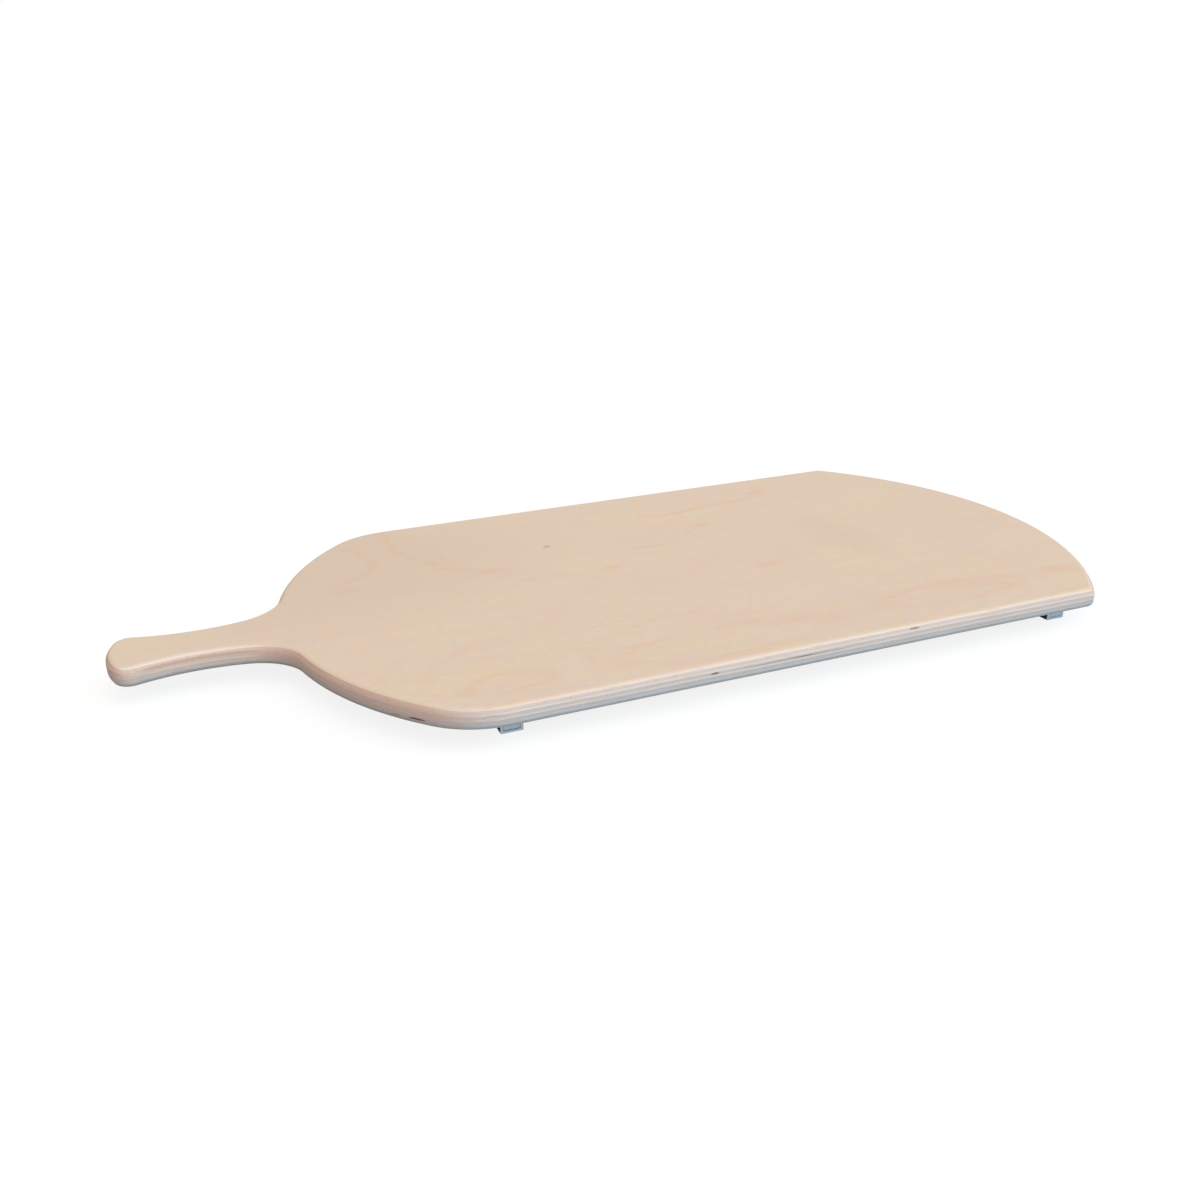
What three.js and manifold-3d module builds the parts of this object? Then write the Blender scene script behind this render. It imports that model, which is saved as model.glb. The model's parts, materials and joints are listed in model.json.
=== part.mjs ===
// Pizza board: a nine-ply birch paddle on two square aluminium rails, screwed on from below.
// Millimetres, +Z up. The origin is under the middle of the board, on the surface that the rails stand on.
// +X points to the round end, -X to the handle.
import * as THREE from 'three';
import { mergeVertices } from 'three/addons/utils/BufferGeometryUtils.js';
import Module from 'manifold-3d';

const wasm = await Module();
wasm.setup();

// Outline of the board
const BOARD_LENGTH = 591;
const BOARD_WIDTH = 300;
const BODY_LENGTH = 500;
const END_RADIUS = 230;
const END_CORNER_RADIUS = 5;
const SHOULDER_RADIUS = 195;
const SHOULDER_CORNER_RADIUS = 50;
const NECK_RADIUS = 33.5;
const HANDLE_WAIST = 36;
const HANDLE_SIDE_RADIUS = 108;
const WAIST_FROM_HANDLE_END = 48;
const HANDLE_CORNER_RADIUS = 9.5;
const HANDLE_END_RADIUS = 50;

// Plywood: nine veneers, the outer three on each side rounded over at the edge
const PLY_COUNT = 9;
const PLY_THICKNESS = 1.3;
const PLIES_ROUNDED = 3;
const BOARD_THICKNESS = PLY_COUNT * PLY_THICKNESS;
const EDGE_ROUND = PLIES_ROUNDED * PLY_THICKNESS;

// Rails, square tubes across the board
const RAIL_SIZE = 12;
const RAIL_WALL = 1.5;
const RAIL_CORNER = 0.5;
const RAIL_INSET = 18;
const RAIL_SPACING = 340;
const ROUND_END_TO_RAIL = 65.5;
const RAIL_LENGTH = BOARD_WIDTH - 2 * RAIL_INSET;

// End plugs, pressed into the tubes
const PLUG_CLEARANCE = 0.1;
const PLUG_DEPTH = 10;
const PLUG_RECESS = 0.1;
const PLUG_BEVEL = 0.4;

// Screws, driven up through the tube's upper wall, with an access hole below each head
const SCREW_SPACING = 100;
const SHANK_RADIUS = 1.75;
const HEAD_RADIUS = 3.4;
const HEAD_HEIGHT = 2.2;
const HEAD_FLAT_RADIUS = 1.7;
const HEAD_SHOULDER_RADIUS = 3;
const HEAD_SHOULDER_DROP = 0.6;
const HEAD_RIM_DROP = 1.3;
const TIP_LENGTH = 2.5;
const TIP_RADIUS = 0.4;
const TIP_CLEARANCE = 0.3;
const PLIES_HELD = 6;
const RECESS_WIDTH = 0.9;
const RECESS_LENGTH = 3.8;
const RECESS_DEPTH = 1.4;
const SCREW_HOLE_RADIUS = 2.05;
const ACCESS_HOLE_RADIUS = 3.9;

// Fineness of the faceted curves
const CHORD_ERROR = 0.08;
const EDGE_STEP = Math.PI / 12;
const HOLE_SIDES = 12;
const ACCESS_HOLE_SIDES = 20;
const RAIL_CORNER_STEPS = 3;
const PLUG_CORNER_STEPS = 2;
const WELD_DISTANCE = 1e-4;

const HALF_LENGTH = BOARD_LENGTH / 2;
const HALF_WIDTH = BOARD_WIDTH / 2;
const BOARD_BOTTOM = RAIL_SIZE;
const BOARD_TOP = BOARD_BOTTOM + BOARD_THICKNESS;
const ROUND_END_RAIL_X = HALF_LENGTH - ROUND_END_TO_RAIL;
const RAILS = [
  { name: 'handle_end', x: ROUND_END_RAIL_X - RAIL_SPACING },
  { name: 'round_end', x: ROUND_END_RAIL_X },
];
const SCREWS = [
  { name: 'near', y: -SCREW_SPACING },
  { name: 'middle', y: 0 },
  { name: 'far', y: SCREW_SPACING },
];

const FACE_VENEER = { color: 0xe6cfb4, roughness: 0.55, metalness: 0 };
const LONG_PLY = { color: 0xdccbb8, roughness: 0.65, metalness: 0 };
const CROSS_PLY = { color: 0xb9a390, roughness: 0.75, metalness: 0 };
const ALUMINIUM = { color: 0x9fadb9, roughness: 0.4, metalness: 0.9 };
const GREY_PLASTIC = { color: 0x8f9ca8, roughness: 0.6, metalness: 0 };
const SCREW_STEEL = { color: 0xb4b7ba, roughness: 0.35, metalness: 1 };

const board = new THREE.Group();
board.name = 'pizza_board';

function addPiece(name, geometry, finish, parent = board) {
  const mesh = new THREE.Mesh(geometry, new THREE.MeshStandardMaterial(finish));
  mesh.name = name;
  parent.add(mesh);
  return mesh;
}

// Joining and cutting closed solids

function solidOf(geometry) {
  const bare = geometry.clone();
  bare.deleteAttribute('normal');
  bare.deleteAttribute('uv');
  const merged = mergeVertices(bare, WELD_DISTANCE);
  const faces = [];
  for (let i = 0; i < merged.index.count; i += 3) {
    const [a, b, c] = [0, 1, 2].map((corner) => merged.index.getX(i + corner));
    if (a !== b && b !== c && c !== a) faces.push(a, b, c);
  }
  const vertProperties = new Float32Array(merged.attributes.position.array);
  const triVerts = new Uint32Array(faces);
  return new wasm.Manifold(new wasm.Mesh({ numProp: 3, vertProperties, triVerts }));
}

function geometryOf(solid) {
  const mesh = solid.getMesh();
  const geometry = new THREE.BufferGeometry();
  geometry.setAttribute('position', new THREE.BufferAttribute(mesh.vertProperties, 3));
  geometry.setIndex(new THREE.BufferAttribute(mesh.triVerts, 1));
  geometry.computeVertexNormals();
  return geometry;
}

function cutFrom(geometry, cutters) {
  const cut = cutters.reduce((solid, cutter) => solid.subtract(solidOf(cutter)), solidOf(geometry));
  return geometryOf(cut);
}

// Outline of the paddle: arcs that run from the round end's tip to the handle's end, on the +Y side

function angleOf(from, to) {
  return Math.atan2(to.y - from.y, to.x - from.x);
}

function sweepBetween(start, end, turn) {
  const fullTurn = 2 * Math.PI;
  const sweep = (end - start) * turn;
  return turn * (((sweep % fullTurn) + fullTurn) % fullTurn);
}

function meetingPoints(c0, r0, c1, r1) {
  const between = new THREE.Vector2().subVectors(c1, c0);
  const span = between.length();
  const along = (r0 * r0 - r1 * r1 + span * span) / (2 * span);
  const aside = Math.sqrt(r0 * r0 - along * along);
  const direction = between.normalize();
  const side = new THREE.Vector2(-direction.y, direction.x);
  return [aside, -aside].map((offset) =>
    c0.clone().addScaledVector(direction, along).addScaledVector(side, offset));
}

function halfOutlineArcs() {
  const end = new THREE.Vector2(HALF_LENGTH - END_RADIUS, 0);
  const endCorner = new THREE.Vector2(0, HALF_WIDTH - END_CORNER_RADIUS);
  endCorner.x = end.x + Math.sqrt((END_RADIUS - END_CORNER_RADIUS) ** 2 - endCorner.y ** 2);

  const shoulder = new THREE.Vector2(HALF_LENGTH - BODY_LENGTH + SHOULDER_RADIUS, 0);
  const shoulderCorner = new THREE.Vector2(0, HALF_WIDTH - SHOULDER_CORNER_RADIUS);
  const cornerReach = SHOULDER_RADIUS - SHOULDER_CORNER_RADIUS;
  shoulderCorner.x = shoulder.x - Math.sqrt(cornerReach ** 2 - shoulderCorner.y ** 2);

  const waistX = -HALF_LENGTH + WAIST_FROM_HANDLE_END;
  const side = new THREE.Vector2(waistX, HANDLE_WAIST / 2 + HANDLE_SIDE_RADIUS);
  const [neck] = meetingPoints(
    shoulder, SHOULDER_RADIUS + NECK_RADIUS, side, HANDLE_SIDE_RADIUS - NECK_RADIUS,
  ).sort((p, q) => p.y - q.y);
  const handleEnd = new THREE.Vector2(-HALF_LENGTH + HANDLE_END_RADIUS, 0);
  const [handleCorner] = meetingPoints(
    side, HANDLE_SIDE_RADIUS + HANDLE_CORNER_RADIUS, handleEnd, HANDLE_END_RADIUS - HANDLE_CORNER_RADIUS,
  ).sort((p, q) => p.x - q.x);
  const cornerTurn = angleOf(handleEnd, handleCorner);

  const quarter = Math.PI / 2;
  const bulge = (centre, radius, start, stop) =>
    ({ centre, radius, start, sweep: sweepBetween(start, stop, 1), outward: 1 });
  const hollow = (centre, radius, start, stop) =>
    ({ centre, radius, start, sweep: sweepBetween(start, stop, -1), outward: -1 });
  return [
    bulge(end, END_RADIUS, 0, angleOf(end, endCorner)),
    bulge(endCorner, END_CORNER_RADIUS, angleOf(end, endCorner), quarter),
    bulge(shoulderCorner, SHOULDER_CORNER_RADIUS, quarter, angleOf(shoulder, shoulderCorner)),
    bulge(shoulder, SHOULDER_RADIUS, angleOf(shoulder, shoulderCorner), angleOf(shoulder, neck)),
    hollow(neck, NECK_RADIUS, angleOf(neck, shoulder), angleOf(side, neck)),
    hollow(side, HANDLE_SIDE_RADIUS, angleOf(side, neck), angleOf(side, handleCorner)),
    bulge(handleCorner, HANDLE_CORNER_RADIUS, angleOf(handleCorner, side), cornerTurn),
    bulge(handleEnd, HANDLE_END_RADIUS, cornerTurn, Math.PI),
  ];
}

const OUTLINE_ARCS = halfOutlineArcs();

function arcPoints(arc, inset, skipFirst) {
  const step = 2 * Math.acos(1 - CHORD_ERROR / arc.radius);
  const count = Math.ceil(Math.abs(arc.sweep) / step);
  const radius = arc.radius - arc.outward * inset;
  const points = [];
  for (let i = skipFirst ? 1 : 0; i <= count; i += 1) {
    const angle = arc.start + (arc.sweep * i) / count;
    points.push(new THREE.Vector2(
      arc.centre.x + radius * Math.cos(angle), arc.centre.y + radius * Math.sin(angle)));
  }
  return points;
}

// The whole outline, drawn in from the board's edge by an even inset. A straight stretch needs no points
// of its own, so only the arc after the straight side starts with a new point.
function outline(inset) {
  const straightSideEnds = 2;
  const half = OUTLINE_ARCS.flatMap((arc, i) => arcPoints(arc, inset, i !== 0 && i !== straightSideEnds));
  const mirrored = half.slice(1, -1).reverse().map((p) => new THREE.Vector2(p.x, -p.y));
  return [...half, ...mirrored];
}

// Plies: each follows its own part of the rounded edge

function edgeInset(depth) {
  const below = Math.max(0, EDGE_ROUND - depth);
  return EDGE_ROUND - Math.sqrt(EDGE_ROUND ** 2 - below ** 2);
}

// Depths of a ply's rings below the nearer face. The layers are counted from that face, starting at 0.
function layerDepths(layer) {
  const shallow = layer * PLY_THICKNESS;
  const deep = shallow + PLY_THICKNESS;
  if (layer >= PLIES_ROUNDED) return [shallow, deep];
  const angleAt = (depth) => Math.acos(Math.max(0, 1 - depth / EDGE_ROUND));
  const from = angleAt(shallow);
  const turn = angleAt(deep) - from;
  const steps = Math.ceil(turn / EDGE_STEP);
  const depths = [shallow];
  for (let i = 1; i < steps; i += 1) {
    depths.push(EDGE_ROUND * (1 - Math.cos(from + (turn * i) / steps)));
  }
  return [...depths, deep];
}

function plyHeights(number) {
  const layersAbove = number - 1;
  const layersBelow = PLY_COUNT - number;
  if (layersAbove <= layersBelow) {
    return layerDepths(layersAbove).map((depth) => BOARD_TOP - depth).reverse();
  }
  return layerDepths(layersBelow).map((depth) => BOARD_BOTTOM + depth);
}

function screwHole(x, y) {
  const points = [];
  for (let i = 0; i < HOLE_SIDES; i += 1) {
    const angle = (2 * Math.PI * i) / HOLE_SIDES;
    points.push(new THREE.Vector2(
      x + SCREW_HOLE_RADIUS * Math.cos(angle), y + SCREW_HOLE_RADIUS * Math.sin(angle)));
  }
  return points;
}

function capFaces(contour, holes) {
  const points = [contour, ...holes].flat();
  return THREE.ShapeUtils.triangulateShape(contour, holes).map(([a, b, c]) => {
    const ab = new THREE.Vector2().subVectors(points[b], points[a]);
    const ac = new THREE.Vector2().subVectors(points[c], points[a]);
    return ab.cross(ac) > 0 ? [a, b, c] : [a, c, b];
  });
}

// A closed solid from rings of equal length, stacked upwards, with upright holes through all of them
function stackedRings(heights, insetAt, holes) {
  const positions = [];
  const faces = [];
  const addRing = (points, z) => {
    const first = positions.length / 3;
    points.forEach((p) => positions.push(p.x, p.y, z));
    return first;
  };
  const addWall = (lower, upper, count) => {
    for (let i = 0; i < count; i += 1) {
      const next = (i + 1) % count;
      faces.push(lower + i, lower + next, upper + next, lower + i, upper + next, upper + i);
    }
  };
  const rings = heights.map((z) => ({ z, points: outline(insetAt(z)) }));
  const count = rings[0].points.length;
  const starts = rings.map((ring) => addRing(ring.points, ring.z));
  for (let i = 1; i < starts.length; i += 1) addWall(starts[i - 1], starts[i], count);

  const [bottom, top] = [rings[0], rings[rings.length - 1]];
  const holeStarts = holes.map((hole) => [addRing(hole, bottom.z), addRing(hole, top.z)]);
  holeStarts.forEach(([lower, upper]) => addWall(upper, lower, HOLE_SIDES));

  const vertexAt = (index, outerStart, level) => {
    if (index < count) return outerStart + index;
    const inHoles = index - count;
    return holeStarts[Math.floor(inHoles / HOLE_SIDES)][level] + (inHoles % HOLE_SIDES);
  };
  capFaces(bottom.points, holes).forEach(([a, b, c]) => {
    faces.push(...[a, c, b].map((index) => vertexAt(index, starts[0], 0)));
  });
  capFaces(top.points, holes).forEach((face) => {
    faces.push(...face.map((index) => vertexAt(index, starts[starts.length - 1], 1)));
  });

  const geometry = new THREE.BufferGeometry();
  geometry.setAttribute('position', new THREE.Float32BufferAttribute(positions, 3));
  geometry.setIndex(faces);
  geometry.computeVertexNormals();
  return geometry;
}

function plyName(number) {
  if (number === 1) return 'ply_1_top_face';
  if (number === PLY_COUNT) return `ply_${number}_bottom_face`;
  if (number === (PLY_COUNT + 1) / 2) return `ply_${number}_core`;
  return `ply_${number}_${number % 2 === 0 ? 'cross' : 'long'}`;
}

function plyFinish(number) {
  if (number === 1 || number === PLY_COUNT) return FACE_VENEER;
  return number % 2 === 0 ? CROSS_PLY : LONG_PLY;
}

const SCREW_PLACES = RAILS.flatMap((rail) => SCREWS.map((screw) => ({ x: rail.x, y: screw.y })));

for (let number = 1; number <= PLY_COUNT; number += 1) {
  const held = number > PLY_COUNT - PLIES_HELD;
  const holes = held ? SCREW_PLACES.map(({ x, y }) => screwHole(x, y)) : [];
  const insetAt = (z) => edgeInset(Math.min(BOARD_TOP - z, z - BOARD_BOTTOM));
  addPiece(plyName(number), stackedRings(plyHeights(number), insetAt, holes), plyFinish(number));
}

// Rails: each is drawn in a group of its own, with its middle at the group's origin

function roundedSquare(size, corner) {
  const reach = size / 2 - corner;
  const shape = new THREE.Shape();
  shape.absarc(reach, reach, corner, 0, Math.PI / 2);
  shape.absarc(-reach, reach, corner, Math.PI / 2, Math.PI);
  shape.absarc(-reach, -reach, corner, Math.PI, 1.5 * Math.PI);
  shape.absarc(reach, -reach, corner, 1.5 * Math.PI, 2 * Math.PI);
  return shape;
}

function squarePath(size) {
  const reach = size / 2;
  return new THREE.Path([
    new THREE.Vector2(reach, reach),
    new THREE.Vector2(reach, -reach),
    new THREE.Vector2(-reach, -reach),
    new THREE.Vector2(-reach, reach),
  ]);
}

function railGeometry() {
  const section = roundedSquare(RAIL_SIZE, RAIL_CORNER);
  section.holes.push(squarePath(RAIL_SIZE - 2 * RAIL_WALL));
  const along = { depth: RAIL_LENGTH, bevelEnabled: false, curveSegments: RAIL_CORNER_STEPS };
  const tube = new THREE.ExtrudeGeometry(section, along);
  tube.translate(0, 0, -RAIL_LENGTH / 2);
  tube.rotateX(Math.PI / 2);
  const drill = (radius, z, y) => {
    const cutter = new THREE.CylinderGeometry(radius, radius, RAIL_SIZE / 2, ACCESS_HOLE_SIDES);
    return cutter.rotateX(Math.PI / 2).translate(0, y, z);
  };
  const cutters = SCREWS.flatMap((screw) => [
    drill(ACCESS_HOLE_RADIUS, -RAIL_SIZE / 2, screw.y),
    drill(SCREW_HOLE_RADIUS, RAIL_SIZE / 2, screw.y),
  ]);
  return cutFrom(tube, cutters);
}

function plugGeometry() {
  const size = RAIL_SIZE - 2 * RAIL_WALL - 2 * PLUG_CLEARANCE;
  const section = roundedSquare(size - 2 * PLUG_BEVEL, PLUG_BEVEL);
  const plug = new THREE.ExtrudeGeometry(section, {
    depth: PLUG_DEPTH - 2 * PLUG_BEVEL,
    bevelThickness: PLUG_BEVEL,
    bevelSize: PLUG_BEVEL,
    bevelSegments: 1,
    curveSegments: PLUG_CORNER_STEPS,
  });
  return plug.translate(0, 0, -PLUG_DEPTH / 2 + PLUG_BEVEL).rotateX(Math.PI / 2);
}

// A pan-head screw standing point up, with the head's bearing face at z = 0
function screwGeometry() {
  const reach = RAIL_WALL + PLIES_HELD * PLY_THICKNESS - TIP_CLEARANCE;
  const profile = [
    [0, -HEAD_HEIGHT],
    [HEAD_FLAT_RADIUS, -HEAD_HEIGHT],
    [HEAD_SHOULDER_RADIUS, -HEAD_HEIGHT + HEAD_SHOULDER_DROP],
    [HEAD_RADIUS, -HEAD_HEIGHT + HEAD_RIM_DROP],
    [HEAD_RADIUS, 0],
    [SHANK_RADIUS, 0],
    [SHANK_RADIUS, reach - TIP_LENGTH],
    [TIP_RADIUS, reach],
    [0, reach],
  ].map(([radius, height]) => new THREE.Vector2(radius, height));
  const body = new THREE.LatheGeometry(profile, HOLE_SIDES).rotateX(Math.PI / 2);
  const slot = new THREE.BoxGeometry(RECESS_LENGTH, RECESS_WIDTH, 2 * RECESS_DEPTH);
  slot.translate(0, 0, -HEAD_HEIGHT);
  const crossSlot = slot.clone().rotateZ(Math.PI / 2);
  return cutFrom(body, [slot, crossSlot]);
}

for (const rail of RAILS) {
  const group = new THREE.Group();
  group.position.set(rail.x, 0, RAIL_SIZE / 2);
  board.add(group);
  addPiece(`rail_${rail.name}`, railGeometry(), ALUMINIUM, group);

  const plugY = RAIL_LENGTH / 2 - PLUG_RECESS - PLUG_DEPTH / 2;
  addPiece(`plug_${rail.name}_near`, plugGeometry(), GREY_PLASTIC, group).position.y = -plugY;
  addPiece(`plug_${rail.name}_far`, plugGeometry(), GREY_PLASTIC, group).position.y = plugY;

  for (const screw of SCREWS) {
    const piece = addPiece(`screw_${rail.name}_${screw.name}`, screwGeometry(), SCREW_STEEL, group);
    piece.position.set(0, screw.y, RAIL_SIZE / 2 - RAIL_WALL);
  }
}

export default board;
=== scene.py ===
import json
import math

import bpy
import numpy as np
from mathutils import Matrix, Vector
from mathutils.geometry import delaunay_2d_cdt


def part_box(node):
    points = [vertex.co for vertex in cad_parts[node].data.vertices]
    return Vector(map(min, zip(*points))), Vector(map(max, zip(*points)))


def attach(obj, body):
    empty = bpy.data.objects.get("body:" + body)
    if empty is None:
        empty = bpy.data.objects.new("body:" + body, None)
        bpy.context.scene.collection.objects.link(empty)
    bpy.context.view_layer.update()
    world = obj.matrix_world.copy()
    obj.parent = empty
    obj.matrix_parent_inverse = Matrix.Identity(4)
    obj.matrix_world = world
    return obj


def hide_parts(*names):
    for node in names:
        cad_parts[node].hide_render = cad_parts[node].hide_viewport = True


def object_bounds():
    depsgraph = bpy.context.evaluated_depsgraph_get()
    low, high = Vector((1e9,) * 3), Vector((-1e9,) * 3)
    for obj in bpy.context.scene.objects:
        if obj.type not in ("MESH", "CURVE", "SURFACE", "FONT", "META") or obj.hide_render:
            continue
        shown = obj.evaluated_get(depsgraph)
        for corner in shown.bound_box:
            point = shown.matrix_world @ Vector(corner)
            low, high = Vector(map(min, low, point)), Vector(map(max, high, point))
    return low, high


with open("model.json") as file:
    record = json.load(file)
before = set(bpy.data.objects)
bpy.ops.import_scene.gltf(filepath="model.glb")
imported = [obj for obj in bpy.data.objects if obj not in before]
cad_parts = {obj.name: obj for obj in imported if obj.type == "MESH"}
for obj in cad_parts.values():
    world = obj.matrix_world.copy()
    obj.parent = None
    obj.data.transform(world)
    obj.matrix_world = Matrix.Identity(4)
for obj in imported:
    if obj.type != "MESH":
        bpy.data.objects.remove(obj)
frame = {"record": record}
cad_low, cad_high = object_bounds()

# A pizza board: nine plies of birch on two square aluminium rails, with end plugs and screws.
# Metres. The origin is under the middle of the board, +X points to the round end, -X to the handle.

MM = 0.001
TOLERANCE = 0.0001 * MM
SHARP_ANGLE = math.radians(20)
SLOTS = {part["node"]: part["material_slot"] for part in frame["record"]["subparts"]}
PLIES = sorted(node for node in SLOTS if node.startswith("ply_"))
RAILS = ("handle_end", "round_end")
SCREWS = ("near", "middle", "far")

# Outline of the board
HALF_LENGTH = cad_high.x
HALF_WIDTH = cad_high.y
BODY_LENGTH = 500 * MM
END_RADIUS = 230 * MM
END_CORNER = 5 * MM
SHOULDER_RADIUS = 195 * MM
SHOULDER_CORNER = 50 * MM
NECK_RADIUS = 33.5 * MM
HANDLE_WAIST = 36 * MM
HANDLE_SIDE = 108 * MM
WAIST_FROM_END = 48 * MM
HANDLE_CORNER = 9.5 * MM
HANDLE_END = 50 * MM
OUTLINE_STEP = 2.5 * MM
OUTLINE_TURN = math.radians(4)

# Plywood
BOARD_TOP = cad_high.z
BOARD_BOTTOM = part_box(PLIES[-1])[0].z
THICKNESS = BOARD_TOP - BOARD_BOTTOM
PLY = THICKNESS / len(PLIES)
EDGE_ROUND = 3 * PLY
EDGE_STRAIGHT = THICKNESS - 2 * EDGE_ROUND
EDGE_STEP = 0.33 * MM
PLY_WAVER = 0.1 * MM
WAVER_CYCLES = (3, 8, 19, 41, 77)
PLIES_HELD = 6

# Rails, plugs and screws
RAIL_SIZE = BOARD_BOTTOM
RAIL_WALL = 1.5 * MM
RAIL_CORNER = 0.5 * MM
RAIL_INNER_CORNER = 0.3 * MM
RAIL_DEBURR = 0.2 * MM
BORE_DEBURR = 0.1 * MM
ACCESS_HOLE = 3.9 * MM
SCREW_HOLE = 2.05 * MM
HOLE_FLARE = 0.3 * MM
CORNER_STEPS = 6
FLAT_MARGIN = 0.05 * MM
PLUG_BEVEL = 0.15 * MM
PLUG_BEVEL_MIDDLE = PLUG_BEVEL / 3
PLUG_LEAST_CORNER = 0.1 * MM
PLUG_COLLAR = 2.5 * MM
PLUG_GROOVE = 0.45 * MM
PLUG_TAPER = 0.6 * MM
GATE_WIDTH = 2.2 * MM
GATE_DEPTH = 0.2 * MM
GATE_FLOOR = 3 * GATE_DEPTH
FINS = 3
FIN_PITCH = 2.3 * MM
FIN_LAND = 0.7 * MM
FIN_RAMP = 0.2 * MM
HEAD_RADIUS = 3.4 * MM
HEAD_HEIGHT = 2.2 * MM
HEAD_EASE = 0.1 * MM
HEAD_STEPS = 8
CROWN_RADIUS = 2.1 * MM
DOME_HEIGHT = 1.3 * MM
RECESS_WIDTH = 0.9 * MM
RECESS_LENGTH = 3.8 * MM
RECESS_DEPTH = 1.4 * MM
RECESS_LIP_DEPTH = 0.35 * MM
RECESS_LIP_SHARE = 0.8
RECESS_FLOOR_SHARE = 0.35
THREAD_CORE = 1.3 * MM
THREAD_CREST = 1.75 * MM
THREAD_PITCH = 1.3 * MM
THREAD_STEP = THREAD_PITCH / 10
THREAD_RUNOUT = 2 * THREAD_PITCH
RIDGE_SHARE = 0.32
POINT_LENGTH = 2.5 * MM
POINT_SHARE = 0.12
SCREW_SIDES = 48
HOLE_SIDES = 40


# Meshes

def add_piece(name, node, vertices, faces, corner_normals=None):
    """A mesh that stands for a node of the frame and rides on its body."""
    mesh = bpy.data.meshes.new(name)
    mesh.from_pydata([tuple(v) for v in vertices], [], [tuple(f) for f in faces])
    mesh.update()
    for polygon in mesh.polygons:
        polygon.use_smooth = True
    if corner_normals is None:
        mesh.set_sharp_from_angle(angle=SHARP_ANGLE)
    else:
        mesh.normals_split_custom_set(corner_normals)
    piece = bpy.data.objects.new(name, mesh)
    bpy.context.scene.collection.objects.link(piece)
    mesh.materials.append(MATERIALS[SLOTS[node]])
    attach(piece, "root")
    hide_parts(node)
    return piece


def ring_quads(lower, upper, count):
    """Faces between two rings of vertices, given the first index of each."""
    return [(lower + i, lower + (i + 1) % count, upper + (i + 1) % count, upper + i) for i in range(count)]


# Outline of the paddle: arcs and straight stretches from the round end's tip to the handle's end

def angle_of(centre, point):
    return math.atan2(point[1] - centre[1], point[0] - centre[0])


def arc(centre, radius, start, stop, turn):
    """Points on an arc without its last one, and their outward normals. A hollow arc turns by -1."""
    sweep = turn * (((stop - start) * turn) % math.tau)
    count = math.ceil(max(abs(sweep) * radius / OUTLINE_STEP, abs(sweep) / OUTLINE_TURN))
    angles = start + sweep * np.arange(count) / count
    around = np.stack([np.cos(angles), np.sin(angles)], axis=1)
    return np.asarray(centre) + radius * around, turn * around


def straight(start, stop, normal):
    start, stop = np.asarray(start), np.asarray(stop)
    count = math.ceil(np.linalg.norm(stop - start) / OUTLINE_STEP)
    points = start + (stop - start) * (np.arange(count) / count)[:, None]
    return points, np.tile(normal, (count, 1))


def meetings(first, first_radius, second, second_radius):
    """The two points where two circles meet."""
    first, second = np.asarray(first), np.asarray(second)
    span = np.linalg.norm(second - first)
    along = (first_radius ** 2 - second_radius ** 2 + span ** 2) / (2 * span)
    aside = math.sqrt(first_radius ** 2 - along ** 2)
    ahead = (second - first) / span
    side = np.array([-ahead[1], ahead[0]])
    return [first + along * ahead + sign * aside * side for sign in (1, -1)]


def outline():
    """Points round the board's edge, counter-clockwise, and their outward normals."""
    end = (HALF_LENGTH - END_RADIUS, 0)
    corner_y = HALF_WIDTH - END_CORNER
    end_corner = (end[0] + math.sqrt((END_RADIUS - END_CORNER) ** 2 - corner_y ** 2), corner_y)
    shoulder = (HALF_LENGTH - BODY_LENGTH + SHOULDER_RADIUS, 0)
    corner_y = HALF_WIDTH - SHOULDER_CORNER
    reach = SHOULDER_RADIUS - SHOULDER_CORNER
    shoulder_corner = (shoulder[0] - math.sqrt(reach ** 2 - corner_y ** 2), corner_y)
    side = (-HALF_LENGTH + WAIST_FROM_END, HANDLE_WAIST / 2 + HANDLE_SIDE)
    necks = meetings(shoulder, SHOULDER_RADIUS + NECK_RADIUS, side, HANDLE_SIDE - NECK_RADIUS)
    neck = min(necks, key=lambda point: point[1])
    handle_end = (-HALF_LENGTH + HANDLE_END, 0)
    corners = meetings(side, HANDLE_SIDE + HANDLE_CORNER, handle_end, HANDLE_END - HANDLE_CORNER)
    handle_corner = min(corners, key=lambda point: point[0])
    corner_turn = angle_of(handle_end, handle_corner)

    quarter = math.pi / 2
    stretches = [
        arc(end, END_RADIUS, 0, angle_of(end, end_corner), 1),
        arc(end_corner, END_CORNER, angle_of(end, end_corner), quarter, 1),
        straight((end_corner[0], HALF_WIDTH), (shoulder_corner[0], HALF_WIDTH), (0, 1)),
        arc(shoulder_corner, SHOULDER_CORNER, quarter, angle_of(shoulder, shoulder_corner), 1),
        arc(shoulder, SHOULDER_RADIUS, angle_of(shoulder, shoulder_corner), angle_of(shoulder, neck), 1),
        arc(neck, NECK_RADIUS, angle_of(neck, shoulder), angle_of(side, neck), -1),
        arc(side, HANDLE_SIDE, angle_of(side, neck), angle_of(side, handle_corner), -1),
        arc(handle_corner, HANDLE_CORNER, angle_of(handle_corner, side), corner_turn, 1),
        arc(handle_end, HANDLE_END, corner_turn, math.pi, 1),
    ]
    points = np.concatenate([stretch[0] for stretch in stretches] + [[(-HALF_LENGTH, 0)]])
    normals = np.concatenate([stretch[1] for stretch in stretches] + [[(-1, 0)]])
    mirror = np.array([1, -1])
    points = np.concatenate([points, (points[1:-1] * mirror)[::-1]])
    normals = np.concatenate([normals, (normals[1:-1] * mirror)[::-1]])
    return points, normals


OUTLINE, OUTWARD = outline()
STEPS = np.linalg.norm(np.roll(OUTLINE, -1, axis=0) - OUTLINE, axis=1)
AROUND = np.concatenate([[0], np.cumsum(STEPS)[:-1]]) / STEPS.sum()


# Plies

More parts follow.
